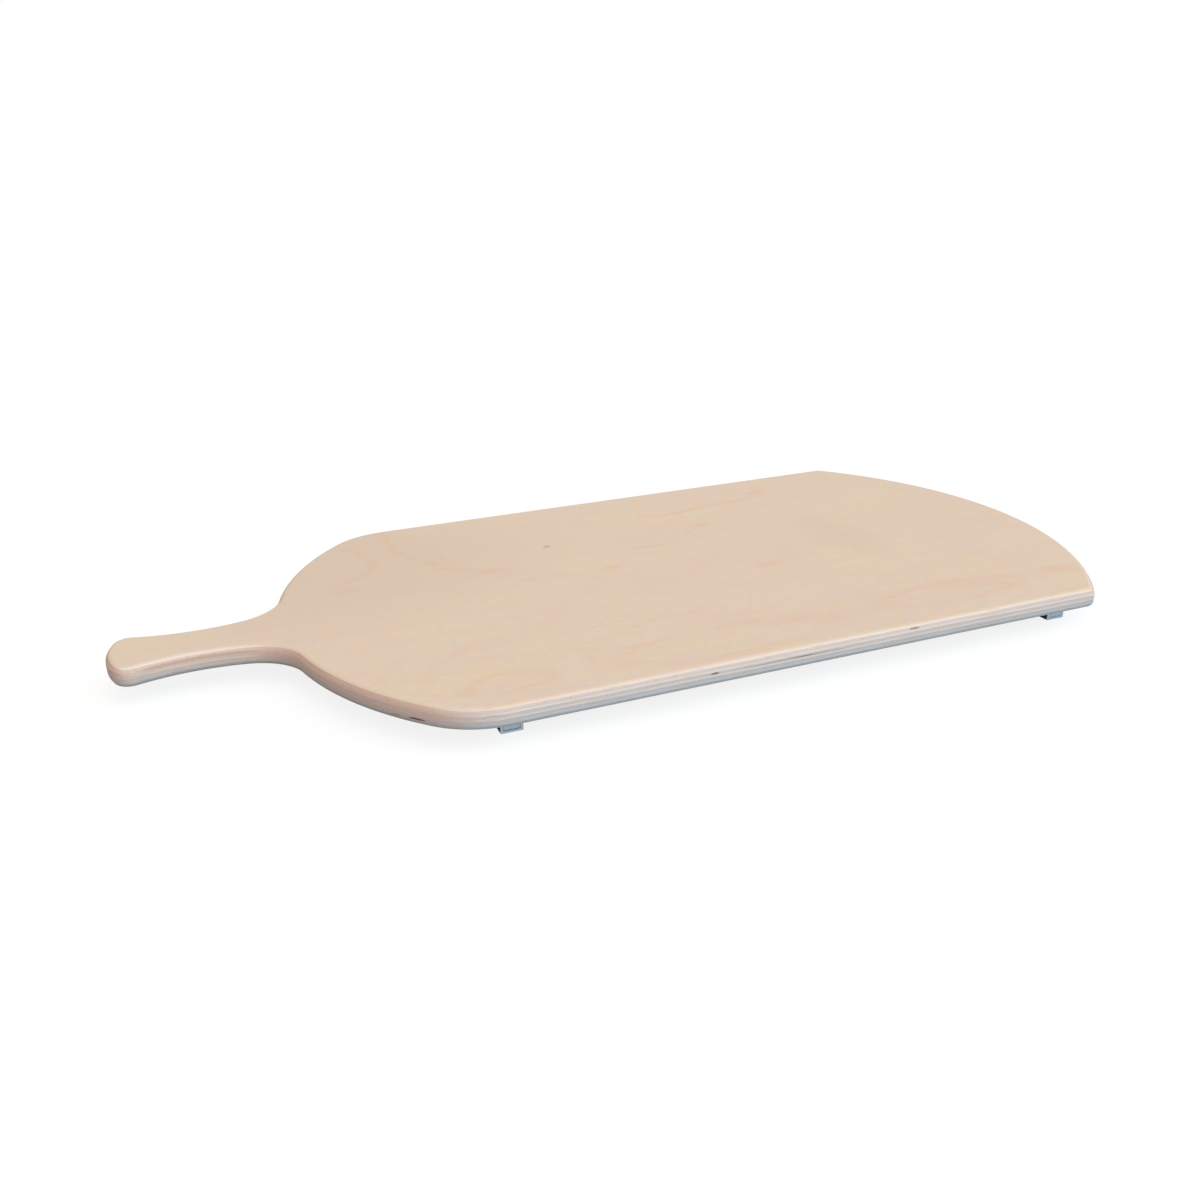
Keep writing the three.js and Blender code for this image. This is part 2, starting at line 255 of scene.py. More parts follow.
def profile(travel):
    """The edge's inset, depth and normal, out and up, at a travel down its section from the top rim."""
    upper = np.clip(travel / EDGE_ROUND, 0, math.pi / 2)
    level = np.clip(travel - EDGE_ROUND * math.pi / 2, 0, EDGE_STRAIGHT)
    lower = np.clip((travel - EDGE_ROUND * math.pi / 2 - EDGE_STRAIGHT) / EDGE_ROUND, 0, math.pi / 2)
    inset = EDGE_ROUND * (2 - np.sin(upper) - np.cos(lower))
    depth = EDGE_ROUND * (1 - np.cos(upper)) + level + EDGE_ROUND * np.sin(lower)
    return inset, depth, np.sin(upper) * np.cos(lower), np.cos(upper) - np.sin(lower)


def travel_to(depth):
    """The travel down the edge's section from the top rim to a depth below the top face."""
    upper = EDGE_ROUND * np.arccos(1 - np.clip(depth / EDGE_ROUND, 0, 1))
    level = np.clip(depth - EDGE_ROUND, 0, EDGE_STRAIGHT)
    lower = EDGE_ROUND * np.arcsin(np.clip((depth - EDGE_ROUND - EDGE_STRAIGHT) / EDGE_ROUND, 0, 1))
    return upper + level + lower


def boundary(number):
    """Depth of the wavering glue line under a ply, all round the outline. The top face is number 0."""
    depth = np.full(len(AROUND), number * PLY)
    if 0 < number < len(PLIES):
        phases = np.random.default_rng(number).uniform(0, math.tau, len(WAVER_CYCLES))
        waves = [np.sin(math.tau * cycles * AROUND + phase) for cycles, phase in zip(WAVER_CYCLES, phases)]
        depth = depth + PLY_WAVER * np.mean(waves, axis=0)
    return depth


def cap_faces(ring, holes):
    """Triangles that fill a ring of points apart from the holes, as indices into the points in order."""
    loops = [ring, *holes]
    starts = np.cumsum([0] + [len(loop) for loop in loops])
    areas = [list(range(starts[i], starts[i + 1])) for i in range(len(loops))]
    points = [Vector(point) for loop in loops for point in loop]
    _, _, faces, origins, _, inside = delaunay_2d_cdt(points, [], areas, 0, TOLERANCE)
    return [[origins[v][0] for v in face] for face, areas_of in zip(faces, inside) if areas_of == [0]]


def hole_ring(x, y, radius, sides=HOLE_SIDES):
    angles = math.tau * np.arange(sides) / sides
    return np.stack([x + radius * np.cos(angles), y + radius * np.sin(angles)], axis=1)


def screw_places():
    """The middle of each screw, from the frame."""
    nodes = [f"screw_{rail}_{place}" for rail in RAILS for place in SCREWS]
    return [(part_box(node)[0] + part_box(node)[1]) / 2 for node in nodes]


def build_ply(number):
    """One veneer, from the glue line above it to the one below. The lower plies have the screws' holes."""
    node = PLIES[number - 1]
    upper, lower = travel_to(boundary(number - 1)), travel_to(boundary(number))
    bands = math.ceil((lower - upper).max() / EDGE_STEP)
    count = len(OUTLINE)
    vertices, normals, glue = [], [], []
    for band in range(bands + 1):
        travel = upper + (lower - upper) * band / bands
        inset, depth, out, up = profile(travel)
        flat = OUTLINE - OUTWARD * inset[:, None]
        vertices.append(np.column_stack([flat, BOARD_TOP - depth]))
        normals.append(np.column_stack([OUTWARD * out[:, None], up]))
        above = travel - upper if number > 1 else np.full(count, PLY)
        below = lower - travel if number < len(PLIES) else np.full(count, PLY)
        glue.append(np.minimum(above, below))
    rings = [band * count for band in range(bands + 1)]
    faces, corners = [], []
    wall_normals = np.concatenate(normals)
    for top, bottom in zip(rings, rings[1:]):
        quads = ring_quads(bottom, top, count)
        faces += quads
        corners += [wall_normals[v] for quad in quads for v in quad]

    held = number > len(PLIES) - PLIES_HELD
    holes = [hole_ring(place.x, place.y, SCREW_HOLE) for place in screw_places()] if held else []
    hole_start = (bands + 1) * count
    levels = (BOARD_TOP - (number - 1) * PLY, BOARD_TOP - number * PLY)
    for level in levels:
        for hole in holes:
            vertices.append(np.column_stack([hole, np.full(HOLE_SIDES, level)]))
            glue.append(np.full(HOLE_SIDES, PLY))
    per_level = len(holes) * HOLE_SIDES
    for index, hole in enumerate(holes):
        top = hole_start + index * HOLE_SIDES
        quads = ring_quads(top, top + per_level, HOLE_SIDES)
        faces += quads
        middle = hole.mean(axis=0)
        inward = [np.append(middle - point, 0) / SCREW_HOLE for point in hole]
        corners += [inward[(v - hole_start) % HOLE_SIDES] for quad in quads for v in quad]

    for ring, level, way in ((0, 0, 1), (bands, 1, -1)):
        rim = vertices[ring][:, :2]
        flat = np.concatenate([rim, *holes])
        for triangle in cap_faces(rim, holes):
            corner = [ring * count + v if v < count else hole_start + level * per_level + v - count
                      for v in triangle]
            a, b, c = flat[triangle]
            turn = np.linalg.det([b - a, c - a])
            faces.append(corner if turn * way > 0 else corner[::-1])
            corners += [(0, 0, way)] * 3
    piece = add_piece(f"veneer_{number}", node, np.concatenate(vertices), faces, corners)
    distance = piece.data.attributes.new("glue_distance", "FLOAT", "POINT")
    distance.data.foreach_set("value", np.concatenate(glue).astype(np.float32))


# Rails

def rounded_square(size, corner):
    """A square section with round corners, counter-clockwise, always with the same count of points.

    A point close to each end of a corner keeps the shading of the flat sides flat.
    """
    reach = size / 2 - corner
    points = []
    for quarter, (sx, sz) in enumerate(((1, 1), (-1, 1), (-1, -1), (1, -1))):
        arc_points = []
        for step in range(CORNER_STEPS + 1):
            angle = (quarter + step / CORNER_STEPS) * math.pi / 2
            arc_points.append(
                (sx * reach + corner * math.cos(angle), sz * reach + corner * math.sin(angle)))
        turn = quarter * math.pi / 2
        back = FLAT_MARGIN * np.array([math.sin(turn), -math.cos(turn)])
        ahead = FLAT_MARGIN * np.array([-math.cos(turn), -math.sin(turn)])
        points += [arc_points[0] + back, *arc_points, arc_points[-1] + ahead]
    return np.array(points)


def lengthwise(sections, centre):
    """Rings of vertices along Y: each section is (points in X and Z, y from the middle)."""
    return [np.column_stack([
        centre.x + points[:, 0], np.full(len(points), centre.y + y), centre.z + points[:, 1]])
        for points, y in sections]


def hole_cutter(x, y, low, high, radius, flare_low, flare_high):
    """A closed upright cutter, a little wider at its ends to break the hole's sharp rims."""
    rows = [(low - flare_low, radius + 2 * flare_low), (low + flare_low, radius),
            (high - flare_high, radius), (high + flare_high, radius + 2 * flare_high)]
    vertices, faces = [], []
    for z, reach in rows:
        vertices.append(np.column_stack([hole_ring(x, y, reach), np.full(HOLE_SIDES, z)]))
    for i in range(len(rows) - 1):
        faces += ring_quads(i * HOLE_SIDES, (i + 1) * HOLE_SIDES, HOLE_SIDES)
    faces.append(range(HOLE_SIDES - 1, -1, -1))
    faces.append(range((len(rows) - 1) * HOLE_SIDES, len(rows) * HOLE_SIDES))
    mesh = bpy.data.meshes.new("cutter")
    mesh.from_pydata([tuple(v) for v in np.concatenate(vertices)], [], [tuple(f) for f in faces])
    cutter = bpy.data.objects.new("cutter", mesh)
    bpy.context.scene.collection.objects.link(cutter)
    return cutter


def cut(piece, cutters):
    """Cuts the cutters out of a piece, and removes them."""
    for cutter in cutters:
        modifier = piece.modifiers.new("cut", "BOOLEAN")
        modifier.operation = "DIFFERENCE"
        modifier.solver = "EXACT"
        modifier.object = cutter
    seen = piece.evaluated_get(bpy.context.evaluated_depsgraph_get())
    mesh = bpy.data.meshes.new_from_object(seen)
    piece.modifiers.clear()
    mesh.name = piece.data.name
    piece.data = mesh
    for polygon in mesh.polygons:
        polygon.use_smooth = True
    mesh.set_sharp_from_angle(angle=SHARP_ANGLE)
    for cutter in cutters:
        bpy.data.objects.remove(cutter)


def build_rail(rail):
    """A square tube with deburred ends, three screw holes above and three access holes below."""
    node = f"rail_{rail}"
    low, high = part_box(node)
    centre = (low + high) / 2
    half = (high.y - low.y) / 2
    bore = RAIL_SIZE - 2 * RAIL_WALL
    outer = rounded_square(RAIL_SIZE, RAIL_CORNER)
    outer_end = rounded_square(RAIL_SIZE - 2 * RAIL_DEBURR, RAIL_CORNER - RAIL_DEBURR)
    inner = rounded_square(bore, RAIL_INNER_CORNER)
    inner_end = rounded_square(bore + 2 * BORE_DEBURR, RAIL_INNER_CORNER + BORE_DEBURR)
    outer_half = half - RAIL_DEBURR
    inner_half = half - BORE_DEBURR
    sections = [
        (outer_end, -half), (outer, -outer_half), (outer, outer_half), (outer_end, half),
        (inner_end, half), (inner, inner_half), (inner, -inner_half), (inner_end, -half)]
    rings = lengthwise(sections, centre)
    count = len(outer)
    faces = []
    for i in range(len(rings)):
        faces += ring_quads(i * count, (i + 1) % len(rings) * count, count)
    piece = add_piece(f"tube_{rail}", node, np.concatenate(rings), faces)
    cutters = []
    for place in SCREWS:
        middle = (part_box(f"screw_{rail}_{place}")[0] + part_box(f"screw_{rail}_{place}")[1]) / 2
        cutters.append(hole_cutter(
            middle.x, middle.y, low.z, low.z + RAIL_WALL, ACCESS_HOLE, HOLE_FLARE, HOLE_FLARE / 2))
        cutters.append(hole_cutter(
            middle.x, middle.y, high.z - RAIL_WALL, high.z, SCREW_HOLE, HOLE_FLARE / 2, HOLE_FLARE / 2))
    cut(piece, cutters)


def build_plug(rail, end):
    """A moulded plug with gripping fins along its sides and a shallow gate mark on its face."""
    node = f"plug_{rail}_{end}"
    low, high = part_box(node)
    centre = (low + high) / 2
    size = high.x - low.x
    half = (high.y - low.y) / 2
    outward = -1 if end == "near" else 1

    def shrunk(by):
        return rounded_square(size - 2 * by, max(PLUG_BEVEL - by / 2, PLUG_LEAST_CORNER))

    full = rounded_square(size, PLUG_BEVEL)
    gate = (size - GATE_WIDTH) / 2
    rows = [
        (shrunk(gate + GATE_FLOOR), half - GATE_DEPTH),
        (shrunk(gate + GATE_DEPTH), half - GATE_DEPTH),
        (shrunk(gate), half),
        (shrunk(PLUG_BEVEL), half),
        (shrunk(PLUG_BEVEL_MIDDLE), half - PLUG_BEVEL_MIDDLE),
        (full, half - PLUG_BEVEL),
        (full, half - PLUG_COLLAR),
    ]
    for fin in range(FINS):
        start = half - PLUG_COLLAR - fin * FIN_PITCH
        stop = start - FIN_PITCH
        rows += [
            (shrunk(PLUG_GROOVE), start - FIN_RAMP),
            (shrunk(PLUG_GROOVE), stop + FIN_LAND + FIN_RAMP),
            (full, stop + FIN_LAND),
            (full, stop),
        ]
    rows.append((shrunk(PLUG_TAPER), -half))
    rings = lengthwise([(points, outward * y) for points, y in rows], centre)
    count = len(full)
    faces = []
    for i in range(len(rings) - 1):
        faces += ring_quads(i * count, (i + 1) * count, count)
    faces.append(range(count - 1, -1, -1))
    faces.append(range((len(rings) - 1) * count, len(rings) * count))
    if outward < 0:
        faces = [tuple(face)[::-1] for face in faces]
    add_piece(f"end_cap_{rail}_{end}", node, np.concatenate(rings), faces)


# Screws

def cross_reach(angles):
    """Reach of the cross recess at each angle round the screw."""
    nearest = np.minimum(np.abs(np.sin(angles)), np.abs(np.cos(angles)))
    return np.minimum(RECESS_LENGTH, RECESS_WIDTH / np.maximum(nearest, RECESS_WIDTH / RECESS_LENGTH)) / 2


def build_screw(rail, place):
    """A pan-head screw, point up, with a tapered cross recess and a rolled thread."""
    node = f"screw_{rail}_{place}"
    low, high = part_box(node)
    centre = (low + high) / 2
    angles = math.tau * np.arange(SCREW_SIDES) / SCREW_SIDES
    around = np.stack([np.cos(angles), np.sin(angles)], axis=1)
    level = np.ones(SCREW_SIDES)
    recess = cross_reach(angles)
    crown = low.z
    bearing = crown + HEAD_HEIGHT
    rows = [
        (RECESS_FLOOR_SHARE * recess, crown + RECESS_DEPTH),
        (RECESS_LIP_SHARE * recess, crown + RECESS_LIP_DEPTH),
        (recess, crown),
    ]
    for step in range(HEAD_STEPS + 1):
        turn = step / HEAD_STEPS * math.pi / 2
        reach = CROWN_RADIUS + (HEAD_RADIUS - CROWN_RADIUS) * math.sin(turn)
        rows.append((reach * level, crown + DOME_HEIGHT * (1 - math.cos(turn))))
    rows += [
        (HEAD_RADIUS * level, bearing - HEAD_EASE),
        ((HEAD_RADIUS - HEAD_EASE) * level, bearing),
        (THREAD_CREST * level, bearing),
    ]
    steps = math.ceil((high.z - bearing) / THREAD_STEP)
    for step in range(1, steps + 1):
        z = bearing + (high.z - bearing) * step / steps
        runout = np.clip((z - bearing) / THREAD_RUNOUT, 0, 1)
        taper = np.clip((high.z - z) / POINT_LENGTH, 0, 1)
        phase = (z / THREAD_PITCH - angles / math.tau) % 1
        ridge = np.clip(1 - np.abs(phase - 0.5) / RIDGE_SHARE, 0, 1)
        core = THREAD_CREST + (THREAD_CORE - THREAD_CREST) * runout
        reach = core + (THREAD_CREST - core) * ridge
        rows.append((reach * (POINT_SHARE + (1 - POINT_SHARE) * taper), z))
    vertices = [(centre.x, centre.y, crown + RECESS_DEPTH)]
    for reach, z in rows:
        vertices += [(centre.x + x, centre.y + y, z) for x, y in around * reach[:, None]]
    vertices.append((centre.x, centre.y, high.z))
    tip = len(vertices) - 1
    last = tip - SCREW_SIDES
    faces = []
    for i in range(len(rows) - 1):
        faces += ring_quads(1 + i * SCREW_SIDES, 1 + (i + 1) * SCREW_SIDES, SCREW_SIDES)
    for i in range(SCREW_SIDES):
        following = (i + 1) % SCREW_SIDES
        faces.append((0, 1 + following, 1 + i))
        faces.append((tip, last + i, last + following))
    add_piece(f"pan_head_{rail}_{place}", node, vertices, faces)


# Materials

def srgb(red, green, blue):
    """A linear colour from screen values of 0 to 255."""
    shares = [value / 255 for value in (red, green, blue)]
    linear = [s / 12.92 if s <= 0.04045 else ((s + 0.055) / 1.055) ** 2.4 for s in shares]
    return (*linear, 1)


# Face tone with painted light: paler toward the near side, darker toward the far side
FACE_NEAR_LIT = srgb(223, 204, 183)
FACE_FAR_SHADED = srgb(220, 199, 177)
FACE_PINK = srgb(221, 196, 182)
FACE_YELLOW = srgb(225, 205, 174)
FACE_GREY = srgb(218, 200, 182)
FACE_WARM = srgb(225, 200, 173)
FACE_TAN = srgb(219, 192, 165)
FACE_LINE = srgb(223, 185, 154)
FACE_FLECK = srgb(120, 88, 76)
FACE_SMUDGE = srgb(200, 180, 160)
# Painted shade on the face toward the handle end
FACE_PAINTED_SHADE = srgb(208, 186, 165)
FACE_EDGE = srgb(228, 214, 202)
FACE_END = srgb(190, 156, 136)
EDGE_PALE = srgb(230, 217, 205)
EDGE_END = srgb(218, 202, 188)
EDGE_BROWN = srgb(218, 188, 171)
# Painted shade: the cut edge darker and browner toward the handle end
HANDLE_PAINTED_SHADE = srgb(228, 194, 170)
STREAK = srgb(178, 136, 102)
KNOT = srgb(96, 68, 60)
GLUE = srgb(160, 136, 122)
ALUMINIUM = srgb(156, 171, 185)
ALUMINIUM_WORN = srgb(163, 177, 190)
STEEL = srgb(184, 187, 190)
STEEL_WORN = srgb(170, 172, 172)
PLASTIC = srgb(164, 179, 192)
PLASTIC_PALE = srgb(170, 184, 196)

# Noises: repeats in a metre along X, Y and Z, offset, detail and roughness
STREAKS = ((14, 520, 520), (0, 0, 0), 3.0, 0.6)
BANDS = ((5, 130, 260), (3.1, 7.7, 1.9), 2.0, 0.5)
DASHES = ((60, 560, 560), (1.4, 6.2, 8.3), 1.0, 0.5)
CLOUDS = ((12, 22, 0), (0, 0, 0), 3.0, 0.5)
WARMTH = ((7, 15, 0), (4.2, 1.3, 0), 2.0, 0.5)
MOTTLE = ((150, 90, 0), (0.6, 3.3, 0), 3.0, 0.65)
FIGURE_WARP = ((16, 34, 0), (0, 0, 0), 4.0, 0.5)
FIGURE_GAPS = ((24, 40, 0), (8.8, 2.5, 0), 3.0, 0.5)
DASH_PATCHES = ((18, 38, 0), (6.1, 4.4, 0), 2.0, 0.5)
SPECKS = ((130, 190, 0), (7.3, 5.9, 0), 2.0, 0.6)
GLUE_RUNS = ((35, 35, 900), (5.5, 0.7, 2.2), 3.0, 0.5)
RAGGEDNESS = ((600, 600, 1500), (0, 0, 0), 2.0, 0.5)
DRAWN_LINES = ((1800, 25, 1800), (0, 0, 0), 3.0, 0.6)
PLATING = ((900, 900, 900), (0, 0, 0), 3.0, 0.6)
BLOTCHES = ((60, 60, 60), (2.0, 5.0, 1.0), 3.0, 0.5)
MOULD_GRAIN = ((2500, 2500, 2500), (0, 0, 0), 2.0, 0.5)
MOULD_CLOUDS = ((220, 220, 220), (0, 0, 0), 2.0, 0.5)

# How a noise shows: where it starts, where it is full and, for a colour, its strength
FACE_CLOUDS = (
    (CLOUDS, (0.42, 0.68, 0.7), FACE_PINK),
    (WARMTH, (0.5, 0.72, 0.7), FACE_YELLOW),
    (MOTTLE, (0.45, 0.7, 1.0), FACE_GREY),
    (MOTTLE, (0.55, 0.3, 1.0), FACE_WARM),
)
FACE_BANDS = (0.48, 0.75, 0.2)
FACE_STREAKS = (0.5, 0.75, 0.24)
FACE_DASHES = (0.52, 0.72, 0.3)
DASHED_PATCHES = (0.4, 0.62)
FACE_SPECKS = (0.55, 0.78, 0.35)
FIGURE_BROKEN = (0.22, 0.5)
FIGURE_DASHED = (0.2, 0.6)
EDGE_STREAKS = (0.5, 0.75, 0.2)
EDGE_BANDS = (0.5, 0.72, 0.22)
EDGE_DASHES = (0.58, 0.75, 0.2)
GLUE_SHOWN = (0.38, 0.66, 0.5)
BLOTCHES_SHOWN = (0.35, 0.7)

# Growth lines on the face, in millimetres: middle and half widths of an oval, the same of the window
# where it shows, and strength
WHOLE = ((0, 0), (1000, 1000))
FIGURE = (
    ((-108.5, -124), (17, 12), *WHOLE, 0.5),
    ((-60, -150), (95, 90), (-131, -98), (28, 40), 0.4),
    ((-60, -150), (114, 112), (-156, -100), (18, 32), 0.3),
    ((15, -130), (77, 52), (-30, -95), (80, 46), 0.42),
    ((15, -124), (60, 17), *WHOLE, 0.36),
    ((158, -118), (38, 10), *WHOLE, 0.5),
    ((165, -135), (66, 30), (172, -106), (66, 16), 0.7),
    ((-60, 140), (57, 95), (-112, 100), (34, 62), 1.0),
    ((-55, 110), (56, 80), (-95, 45), (44, 40), 1.0),
    ((-178, 90), (40, 46), (-145, 75), (38, 56), 1.0),
    ((85, 152), (92, 55), (122, 105), (74, 40), 0.9),
)
LINE_RISE = 3
LINE_FADE = 7
FIGURE_BEND = (35 * MM, 22 * MM, 0)
FIGURE_STRENGTH = 0.85
# Small warm patches on the face, in millimetres: middle and half widths
PATCHES = (
    ((-161, 38), (9, 7)),
    ((-88, 75), (3, 17)),
    ((-46, 10), (7, 5)),
    ((0, 10), (10, 4)),
    ((45, 34), (23, 3)),
    ((70, 47), (3, 10)),
    ((88, 62), (11, 5)),
    ((95, -30), (9, 6)),
    ((248, -115), (13, 10)),
)
PATCH_STRENGTH = 0.8
# A fleck, a smudge and a broad painted shade toward the handle end on the face, in millimetres: middle,
# half widths, colour, strength
FACE_SPOTS = (
    ((-22, 65), (2.8, 2.4), FACE_FLECK, 0.5),
    ((165, 0), (26, 55), FACE_SMUDGE, 0.2),
    ((-165, 90), (150, 125), FACE_PAINTED_SHADE, 0.45),
)
# Knots, gaps and streaks in the cut edge, in millimetres: middle, half widths, colour and strength
EDGE_MARKS = (
    ((114.8, -149.5, 21.75), (2.8, 3, 0.45), KNOT, 0.6),
    ((-6.8, -150, 19.15), (2.2, 3, 0.45), KNOT, 0.8),
    ((38, -150, 18.75), (30, 3, 0.42), KNOT, 0.32),
    ((45, -150, 18.9), (7, 3, 0.35), KNOT, 0.45),
    ((-155.9, -128.6, 15.85), (4.3, 4.7, 0.42), KNOT, 1.0),
    ((-164, -119, 15.5), (2.5, 3, 0.5), KNOT, 0.35),
    ((-252, -18, 20.6), (48, 6, 0.75), STREAK, 0.5),
)
# Where a mark fades in, as shares of its half widths: from nothing to full
WINDOW_FADE = (1.1, 0.6)
PATCH_FADE = (1.5, 0.2)
SPOT_FADE = (1.2, 0.3)
MARK_FADE = (1.35, 0.75)
# A darker band near the top, and painted shade on the veneers below the core, darker and cooler there:
# height, half width in full and in all, and tint
DARK_BAND_AND_PAINTED_SHADE = (
    (21.75 * MM, 0.5 * MM, 0.8 * MM, (0.9, 0.9, 0.91, 1.0)),
    (15.9 * MM, 0.8 * MM, 2.3 * MM, (0.82, 0.9, 0.97, 1.0)),
)
# Painted shade on the cut edge toward the handle end, darker and browner: where it starts and is full,
# along the board, and its share there
HANDLE_SHADE_FROM = -140 * MM
HANDLE_SHADE_FULL = -200 * MM
HANDLE_SHADE_SHARE = 0.6
# Shares of the normal: along X, where the edge starts to turn brown and is full, and along Z for the face
BROWN_FACING = (0.2, 0.75)
FACE_FACING = (0.74, 0.95)
END_GRAIN_POWER = 0.8
GLUE_EDGE = 0.2 * MM
GLUE_FULL = 0.02 * MM
WOOD_SPECULAR = 0.3
EDGE_ROUGHNESS = 0.68
EDGE_RELIEF = 0.03 * MM
FACE_ROUGHNESS = 0.58
FACE_RELIEF = 0.02 * MM
ALUMINIUM_ROUGHNESS = 0.34
STEEL_ROUGHNESS = 0.3
METAL_RELIEF = 0.01 * MM
LINES_RANGE = (0.3, 0.7)
GLOSS_RANGE = (-0.06, 0.08)
PLASTIC_ROUGHNESS = 0.5
PLASTIC_METALLIC = 0.6
PLASTIC_RELIEF = 0.02 * MM


class Nodes:
    """The nodes of a material or a world. Their inputs take plain values or other nodes' sockets."""

    def __init__(self, owner):
        owner.use_nodes = True
        self.owner = owner
        self.tree = owner.node_tree
        self.tree.nodes.clear()

    def add(self, kind, inputs, **settings):
        node = self.tree.nodes.new(kind)
        for name, value in settings.items():
            setattr(node, name, value)
        for key, value in inputs.items():
            if isinstance(value, bpy.types.NodeSocket):
                self.tree.links.new(value, node.inputs[key])
            else:
                node.inputs[key].default_value = value
        return node

    def math(self, operation, first, second=0.0):
        return self.add("ShaderNodeMath", {0: first, 1: second}, operation=operation).outputs[0]

    def mix(self, factor, first, second, blend="MIX"):
        inputs = {0: factor, 6: first, 7: second}
        return self.add("ShaderNodeMix", inputs, data_type="RGBA", blend_type=blend).outputs[2]

    def between(self, value, low, high, most=1.0):
        """0 on low's side, most on high's side and a smooth step between. Low may be above high."""
        inputs = {"Value": value, "From Min": low, "From Max": high, "To Max": most}
        return self.add("ShaderNodeMapRange", inputs, interpolation_type="SMOOTHSTEP").outputs[0]

    def coordinates(self):
        return self.add("ShaderNodeTexCoord", {}).outputs["Object"]

    def axes(self, vector):
        return self.add("ShaderNodeSeparateXYZ", {0: vector}).outputs

    def vector(self, operation, first, second=(0, 0, 0)):
        return self.add("ShaderNodeVectorMath", {0: first, 1: second}, operation=operation).outputs

    def mapped(self, place, scale, location):
        inputs = {"Vector": place, "Scale": scale, "Location": location}
        return self.add("ShaderNodeMapping", inputs).outputs[0]

    def noise(self, place, scale, offset, detail, roughness, output="Fac"):
        inputs = {"Vector": self.mapped(place, scale, offset), "Scale": 1.0, "Detail": detail,
                  "Roughness": roughness}
        return self.add("ShaderNodeTexNoise", inputs).outputs[output]

    def bump(self, height, distance):
        return self.add("ShaderNodeBump", {"Height": height, "Distance": distance}).outputs[0]

    def surface(self, **inputs):
        named = {name.replace("_", " "): value for name, value in inputs.items()}
        shader = self.add("ShaderNodeBsdfPrincipled", named)
        self.add("ShaderNodeOutputMaterial", {"Surface": shader.outputs[0]})
        return self.owner


def add_grain(nodes, place, along):
    """Fine streaks, broad bands and short dashes that run along a grain axis, X or Y."""
    layers = []
    for (x, y, z), *rest in (STREAKS, BANDS, DASHES):
        scale = (x, y, z) if along == "X" else (y, x, z)
        layers.append(nodes.noise(place, scale, *rest))
    return layers


def add_ellipse(nodes, place, middle, half):
    """How far out a place is in an ellipse or an ellipsoid, 1 on its edge."""
    middle, half = (*middle, 0)[:3], (*half, 0)[:3]
    scale = tuple(1 / (reach * MM) if reach else 0 for reach in half)
    location = tuple(-at / reach if reach else 0 for at, reach in zip(middle, half))
    return nodes.vector("LENGTH", nodes.mapped(place, scale, location))["Value"]


def add_marks(nodes, place, colour):
    """Knots, gaps and streaks in the cut edge, with ragged outlines."""
    ragged = nodes.math("SUBTRACT", nodes.noise(place, *RAGGEDNESS), 0.5)
    for middle, half, tone, strength in EDGE_MARKS:
        reach = nodes.math("ADD", add_ellipse(nodes, place, middle, half), ragged)
        colour = nodes.mix(nodes.between(reach, *MARK_FADE, strength), colour, tone)
    return colour


def add_edge(nodes, place, along, pale, brown, handle_shade_share):
    """Colour of a ply's cut edge, its streaks, and the shares of the normal along the three axes.

    The edge is pale where the cut follows the grain, darker on end grain, and dark at the glue. Painted
    shade makes it darker and browner toward the handle end, and darker and cooler on the veneers below the
    core.
    """
    split = nodes.axes(nodes.add("ShaderNodeNewGeometry", {}).outputs["Normal"])
    at = nodes.axes(place)
    end_grain = nodes.math("POWER", nodes.math("ABSOLUTE", split[along]), END_GRAIN_POWER)
    colour = nodes.mix(end_grain, pale, EDGE_END)
    # Painted shade: darker and browner toward the handle end
    colour = nodes.mix(nodes.between(at["X"], HANDLE_SHADE_FROM, HANDLE_SHADE_FULL, handle_shade_share), colour, HANDLE_PAINTED_SHADE)
    colour = nodes.mix(nodes.between(nodes.math("ABSOLUTE", split["X"]), *BROWN_FACING), colour, brown)
    # A darker band near the top, and painted shade, darker and cooler, on the veneers below the core
    for height, full, reach, tint in DARK_BAND_AND_PAINTED_SHADE:
        off = nodes.math("ABSOLUTE", nodes.math("SUBTRACT", at["Z"], height))
        colour = nodes.mix(nodes.between(off, reach, full), colour, tint, "MULTIPLY")
    streaks, bands, dashes = add_grain(nodes, place, along)
    colour = nodes.mix(nodes.between(streaks, *EDGE_STREAKS), colour, STREAK)
    colour = nodes.mix(nodes.between(bands, *EDGE_BANDS), colour, FACE_LINE)
    colour = nodes.mix(nodes.between(dashes, *EDGE_DASHES), colour, STREAK)
    distance = nodes.add("ShaderNodeAttribute", {}, attribute_name="glue_distance").outputs["Fac"]
    runs = nodes.between(nodes.noise(place, *GLUE_RUNS), *GLUE_SHOWN)
    glue = nodes.math("MULTIPLY", nodes.between(distance, GLUE_EDGE, GLUE_FULL), runs)
    colour = nodes.mix(glue, colour, GLUE)
    return add_marks(nodes, place, colour), streaks, split


def ply_material(name, along):
    """The cut edge of an inner ply, with its grain along X or Y."""
    nodes = Nodes(bpy.data.materials.new(name))
    place = nodes.coordinates()
    colour, streaks, _ = add_edge(nodes, place, along, EDGE_PALE, EDGE_BROWN, HANDLE_SHADE_SHARE)
    return nodes.surface(
        Base_Color=colour, Roughness=EDGE_ROUGHNESS, Specular_IOR_Level=WOOD_SPECULAR,
        Normal=nodes.bump(streaks, EDGE_RELIEF))


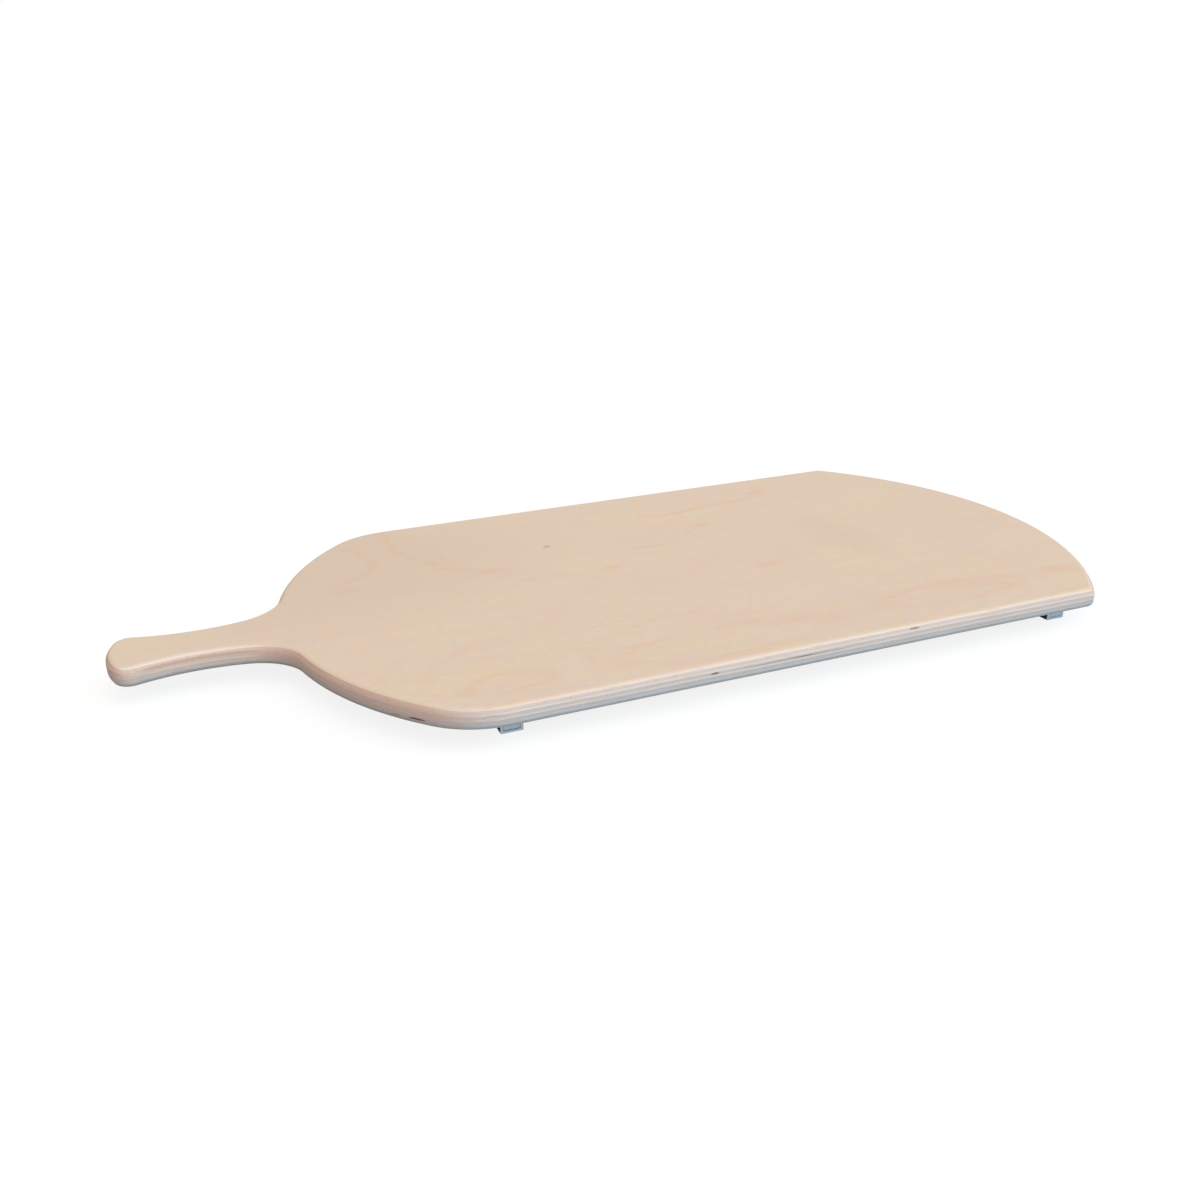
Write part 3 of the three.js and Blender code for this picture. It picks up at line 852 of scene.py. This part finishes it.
def add_figure(nodes, place):
    """Growth lines and warm patches, bent by a slow noise. A line is sharper on its inner side."""
    warp = nodes.noise(place, *FIGURE_WARP, output="Color")
    shift = nodes.vector("SUBTRACT", warp, (0.5, 0.5, 0.5))[0]
    bent = nodes.vector("ADD", place, nodes.vector("MULTIPLY", shift, FIGURE_BEND)[0])[0]
    figure = 0.0
    for middle, half, window, window_half, strength in FIGURE:
        reach = add_ellipse(nodes, bent, middle, half)
        rise = nodes.between(reach, 1 - LINE_RISE / min(half), 1)
        fall = nodes.between(reach, 1 + LINE_FADE / min(half), 1)
        line = nodes.math("MULTIPLY", rise, fall)
        shown = nodes.between(add_ellipse(nodes, place, window, window_half), *WINDOW_FADE, strength)
        figure = nodes.math("MAXIMUM", figure, nodes.math("MULTIPLY", line, shown))
    for middle, half in PATCHES:
        patch = nodes.between(add_ellipse(nodes, bent, middle, half), *PATCH_FADE)
        faded = nodes.math("SUBTRACT", patch, 1 - PATCH_STRENGTH)
        figure = nodes.math("MAXIMUM", figure, faded)
    return figure


def face_material(name):
    """Sanded birch veneer: pink and yellow clouds, streaks, dashes and flecks, and growth lines on top."""
    nodes = Nodes(bpy.data.materials.new(name))
    place = nodes.coordinates()
    _, across, height = nodes.axes(place)
    upper = nodes.between(height, BOARD_BOTTOM, BOARD_TOP)
    # Painted light: the face is paler toward the near side and darker toward the far side
    colour = nodes.mix(nodes.between(across, -HALF_WIDTH, HALF_WIDTH), FACE_NEAR_LIT, FACE_FAR_SHADED)
    for noise, shown, tone in FACE_CLOUDS:
        colour = nodes.mix(nodes.between(nodes.noise(place, *noise), *shown), colour, tone)

    streaks, bands, dashes = add_grain(nodes, place, "X")
    broken = nodes.between(nodes.noise(place, *FIGURE_GAPS), *FIGURE_BROKEN)
    figure = nodes.math("MULTIPLY", add_figure(nodes, place), upper)
    for share in (broken, nodes.between(dashes, *FIGURE_DASHED), FIGURE_STRENGTH):
        figure = nodes.math("MULTIPLY", figure, share)
    colour = nodes.mix(figure, colour, FACE_LINE)
    colour = nodes.mix(nodes.between(bands, *FACE_BANDS), colour, FACE_TAN)
    colour = nodes.mix(nodes.between(streaks, *FACE_STREAKS), colour, FACE_LINE)
    patches = nodes.between(nodes.noise(place, *DASH_PATCHES), *DASHED_PATCHES)
    dashed = nodes.math("MULTIPLY", nodes.between(dashes, *FACE_DASHES), patches)
    colour = nodes.mix(dashed, colour, FACE_LINE)
    colour = nodes.mix(nodes.between(nodes.noise(place, *SPECKS), *FACE_SPECKS), colour, FACE_LINE)
    # The last spot is painted shade, darker toward the handle end
    for middle, half, tone, strength in FACE_SPOTS:
        inside = nodes.between(add_ellipse(nodes, place, middle, half), *SPOT_FADE, strength)
        colour = nodes.mix(nodes.math("MULTIPLY", inside, upper), colour, tone)

    edge, _, split = add_edge(nodes, place, "X", FACE_EDGE, FACE_END, 0.0)
    flatness = nodes.between(nodes.math("ABSOLUTE", split["Z"]), *FACE_FACING)
    return nodes.surface(
        Base_Color=nodes.mix(flatness, edge, colour), Roughness=FACE_ROUGHNESS,
        Specular_IOR_Level=WOOD_SPECULAR, Normal=nodes.bump(streaks, FACE_RELIEF))


def metal_material(name, tone, worn, roughness, finish):
    """Metal with fine lines or grain and slightly uneven gloss."""
    nodes = Nodes(bpy.data.materials.new(name))
    place = nodes.coordinates()
    lines = nodes.noise(place, *finish)
    colour = nodes.mix(nodes.between(nodes.noise(place, *BLOTCHES), *BLOTCHES_SHOWN), tone, worn)
    gloss = nodes.add("ShaderNodeMapRange", {
        "Value": lines, "From Min": LINES_RANGE[0], "From Max": LINES_RANGE[1],
        "To Min": roughness + GLOSS_RANGE[0], "To Max": roughness + GLOSS_RANGE[1]}).outputs[0]
    return nodes.surface(
        Base_Color=colour, Metallic=1.0, Roughness=gloss, Normal=nodes.bump(lines, METAL_RELIEF))


def plastic_material(name):
    """Moulded plastic with a slight sheen, a fine grain and faint clouds."""
    nodes = Nodes(bpy.data.materials.new(name))
    place = nodes.coordinates()
    grain = nodes.noise(place, *MOULD_GRAIN)
    clouds = nodes.noise(place, *MOULD_CLOUDS)
    colour = nodes.mix(nodes.between(clouds, *BLOTCHES_SHOWN), PLASTIC, PLASTIC_PALE)
    return nodes.surface(
        Base_Color=colour, Metallic=PLASTIC_METALLIC, Roughness=PLASTIC_ROUGHNESS,
        Normal=nodes.bump(grain, PLASTIC_RELIEF))


MATERIALS = {
    "birch_face": face_material("birch_face"),
    "long_ply": ply_material("long_ply", "X"),
    "cross_ply": ply_material("cross_ply", "Y"),
    "rail_aluminium": metal_material(
        "rail_aluminium", ALUMINIUM, ALUMINIUM_WORN, ALUMINIUM_ROUGHNESS, DRAWN_LINES),
    "plug_plastic": plastic_material("plug_plastic"),
    "screw_steel": metal_material("screw_steel", STEEL, STEEL_WORN, STEEL_ROUGHNESS, PLATING),
}

for number in range(1, len(PLIES) + 1):
    build_ply(number)
for rail in RAILS:
    build_rail(rail)
    for end in ("near", "far"):
        build_plug(rail, end)
    for place in SCREWS:
        build_screw(rail, place)


# Stage, light and camera

FLOOR_SIZE = 40.0
# Suns: the way that each shines from, its strength in red, green and blue, and its softness
SUNS = {
    "key": (Vector((0.2, -0.62, 0.76)), (0.30, 0.33, 0.38), math.radians(50)),
    "side": (Vector((0.8, -0.3, 0.5)), (0.18, 0.28, 0.34), math.radians(40)),
    "front": (Vector((0.3, -0.93, 0.17)), (0.14, 0.14, 0.17), math.radians(20)),
    "fill": (Vector((-0.7, -0.65, 0.2)), (0.16, 0.10, 0.07), math.radians(40)),
}
SKY = (0.61, 0.545, 0.475, 1.0)
FLOOR_SEEN = (0.2, 0.2, 0.2, 1.0)
FLOOR_BOUNCE = (0.06, 0.27, 0.42, 1.0)
FLOOR_LIFT = 0.84
RAIL_SHADE = 3 * MM
WHITE = (1.0, 1.0, 1.0, 1.0)


def seen_directly(nodes):
    """Whether a ray comes from the camera, and whether by way of a reflection or through glass."""
    path = nodes.add("ShaderNodeLightPath", {}).outputs
    return path["Is Camera Ray"], nodes.math("MAXIMUM", path["Is Glossy Ray"], path["Is Transmission Ray"])


def build_floor():
    """A pale floor that keeps the shadow. Only the light that it throws back is tinted."""
    nodes = Nodes(bpy.data.materials.new("floor"))
    seen, mirrored = seen_directly(nodes)
    tone = nodes.mix(nodes.math("MAXIMUM", seen, mirrored), FLOOR_BOUNCE, FLOOR_SEEN)
    matte = nodes.add("ShaderNodeBsdfDiffuse", {"Color": tone})
    aside = nodes.axes(nodes.coordinates())["Y"]
    rail_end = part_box("rail_handle_end")[1].y
    clear = nodes.between(nodes.math("ABSOLUTE", aside), rail_end - RAIL_SHADE, rail_end)
    open_floor = nodes.math("MULTIPLY", mirrored, clear)
    lift = nodes.math("MULTIPLY", nodes.math("MAXIMUM", seen, open_floor), FLOOR_LIFT)
    glow = nodes.add("ShaderNodeEmission", {"Color": WHITE, "Strength": lift})
    both = nodes.add("ShaderNodeAddShader", {0: matte.outputs[0], 1: glow.outputs[0]})
    nodes.add("ShaderNodeOutputMaterial", {"Surface": both.outputs[0]})
    reach = FLOOR_SIZE / 2
    mesh = bpy.data.meshes.new("floor")
    corners = [(-reach, -reach, 0), (reach, -reach, 0), (reach, reach, 0), (-reach, reach, 0)]
    mesh.from_pydata(corners, [], [(0, 1, 2, 3)])
    mesh.materials.append(nodes.owner)
    floor = bpy.data.objects.new("floor", mesh)
    bpy.context.scene.collection.objects.link(floor)


def build_light():
    """Four soft suns under a plain sky, with a white backdrop."""
    nodes = Nodes(bpy.data.worlds.new("studio"))
    seen = nodes.math("MAXIMUM", *seen_directly(nodes))
    ambient = nodes.add("ShaderNodeBackground", {"Color": SKY, "Strength": 1.0})
    backdrop = nodes.add("ShaderNodeBackground", {"Color": WHITE, "Strength": 1.0})
    either = nodes.add("ShaderNodeMixShader", {0: seen, 1: ambient.outputs[0], 2: backdrop.outputs[0]})
    nodes.add("ShaderNodeOutputWorld", {"Surface": either.outputs[0]})
    bpy.context.scene.world = nodes.owner

    for name, (source, colour, softness) in SUNS.items():
        sun = bpy.data.lights.new(name, "SUN")
        sun.color = colour
        sun.energy = math.pi
        sun.angle = softness
        lamp = bpy.data.objects.new(name, sun)
        lamp.rotation_euler = source.to_track_quat("Z", "Y").to_euler()
        bpy.context.scene.collection.objects.link(lamp)


CAMERA_PLACE = Vector((-248.660, -615.841, 266.752)) * MM
CAMERA_HEADING = math.radians(21.181)
CAMERA_TILT = math.radians(21.508)
CAMERA_ROLL = math.radians(1.7016)
CAMERA_LENS = 34.05
SENSOR_WIDTH = 36.0


def build_camera():
    """The photograph's view, found from the board's outline in it."""
    lens = bpy.data.cameras.new("camera")
    lens.lens = CAMERA_LENS
    lens.sensor_width = SENSOR_WIDTH
    lens.clip_end = 2 * FLOOR_SIZE
    camera = bpy.data.objects.new("camera", lens)
    heading = Matrix.Rotation(-CAMERA_HEADING, 4, "Z")
    tilt = Matrix.Rotation(math.pi / 2 - CAMERA_TILT, 4, "X")
    roll = Matrix.Rotation(-CAMERA_ROLL, 4, "Z")
    camera.matrix_world = Matrix.Translation(CAMERA_PLACE) @ heading @ tilt @ roll
    bpy.context.scene.collection.objects.link(camera)
    bpy.context.scene.camera = camera


build_floor()
build_light()
build_camera()
bpy.context.scene.view_settings.view_transform = "Standard"
